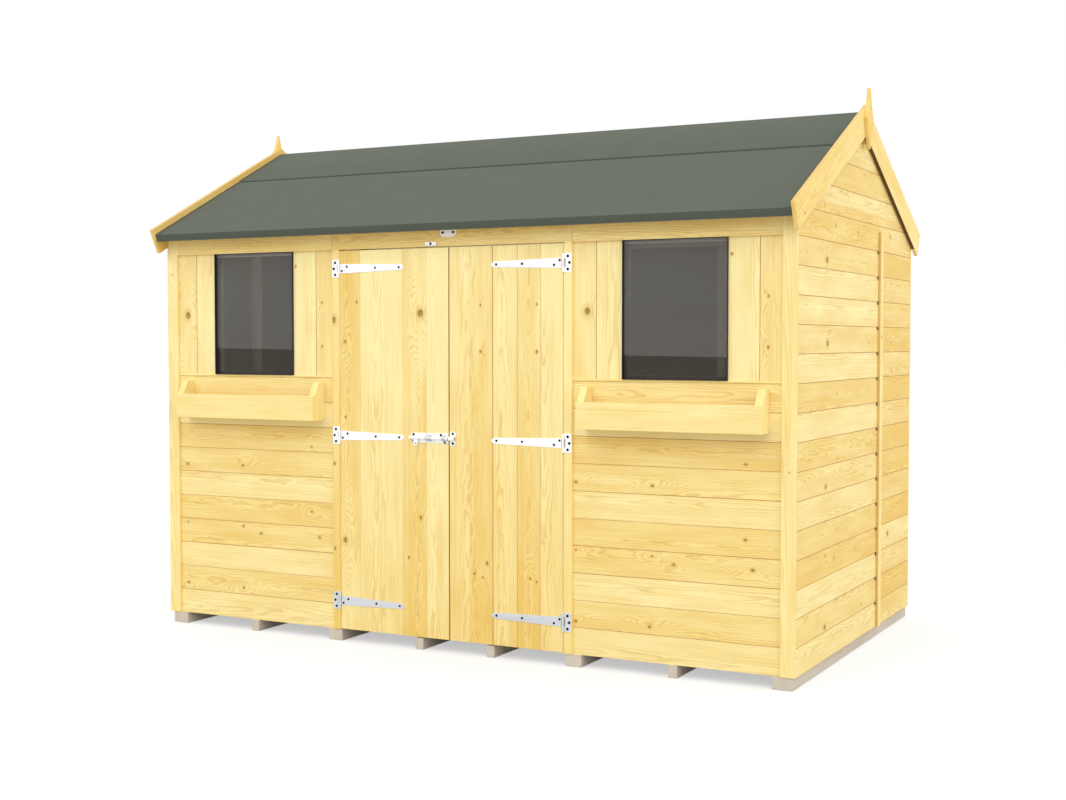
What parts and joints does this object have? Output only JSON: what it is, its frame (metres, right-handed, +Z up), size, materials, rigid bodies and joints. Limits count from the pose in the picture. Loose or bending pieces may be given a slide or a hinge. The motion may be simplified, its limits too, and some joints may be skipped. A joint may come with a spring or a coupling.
{
  "type": "wooden garden shed",
  "caption": "Timber garden shed with double doors on its long side, a window and a planter box on each side of them, board walls and a felted apex roof with barge boards.",
  "frame": {"origin": "on the ground under the middle of the shed", "axes": "+X along the length, +Y from the front to the back, +Z up"},
  "size_m": [3.0662, 1.93, 2.3533],
  "materials": {
    "cladding_pine": "planed pine boards, lightly sealed",
    "trim_pine": "planed pine, lightly sealed",
    "framing_pine": "sawn pine",
    "bearer_wood": "sawn, weathered softwood",
    "roof_felt": "grey-green mineral roofing felt",
    "window_pane": "clear pane",
    "zinc_steel": "bright zinc"
  },
  "bodies": {
    "shed": {"floor_bearers": "bearer_wood", "floor_deck": "framing_pine", "front_cladding": "cladding_pine", "front_window_boards": "cladding_pine", "sill_strips": "trim_pine", "head_rails": "trim_pine", "door_posts": "trim_pine", "corner_trims": "trim_pine", "window_panes": "window_pane", "left_wall_panels": "cladding_pine", "left_gable": "cladding_pine", "right_wall_panels": "cladding_pine", "right_gable": "cladding_pine", "back_panels": "cladding_pine", "joint_strips": "trim_pine", "sole_plates": "framing_pine", "top_plates": "framing_pine", "front_studs": "framing_pine", "back_studs": "framing_pine", "side_studs": "framing_pine", "window_rails": "framing_pine", "mid_rails": "framing_pine", "gable_rafters": "framing_pine", "roof_purlins": "framing_pine", "eave_battens": "framing_pine", "roof_deck": "framing_pine", "felt_slopes": "roof_felt", "felt_ridge": "roof_felt", "left_barge_boards": "trim_pine", "right_barge_boards": "trim_pine", "finials": "trim_pine", "window_box_left": "trim_pine", "window_box_right": "trim_pine", "hinge_plates": "zinc_steel", "head_plate": "zinc_steel"},
    "door_left": {"door_left_boards": "cladding_pine", "door_left_ledges": "framing_pine", "door_left_straps": "zinc_steel", "bolt_plate": "zinc_steel"},
    "door_right": {"door_right_boards": "cladding_pine", "door_right_ledges": "framing_pine", "door_right_straps": "zinc_steel", "bolt_keeper": "zinc_steel"},
    "bolt": {"bolt_bar": "zinc_steel"},
    "turn_button": {"turn_button": "zinc_steel"}
  },
  "joints": [
    {"name": "door_left_hinge", "type": "hinge", "parent": "shed", "child": "door_left", "pos_m": [-0.5405, -0.8715, 0.896], "axis": [0, 0, -1], "range_deg": [0, 130]},
    {"name": "door_right_hinge", "type": "hinge", "parent": "shed", "child": "door_right", "pos_m": [0.5405, -0.8715, 0.896], "axis": [0, 0, 1], "range_deg": [0, 130]},
    {"name": "bolt_slide", "type": "slide", "parent": "door_left", "child": "bolt", "axis": [1, 0, 0], "range_m": [0, 0.021]},
    {"name": "turn_button_pivot", "type": "hinge", "parent": "shed", "child": "turn_button", "pos_m": [-0.074, -0.872, 1.707], "axis": [0, 1, 0], "range_deg": [0, 90]}
  ]
}
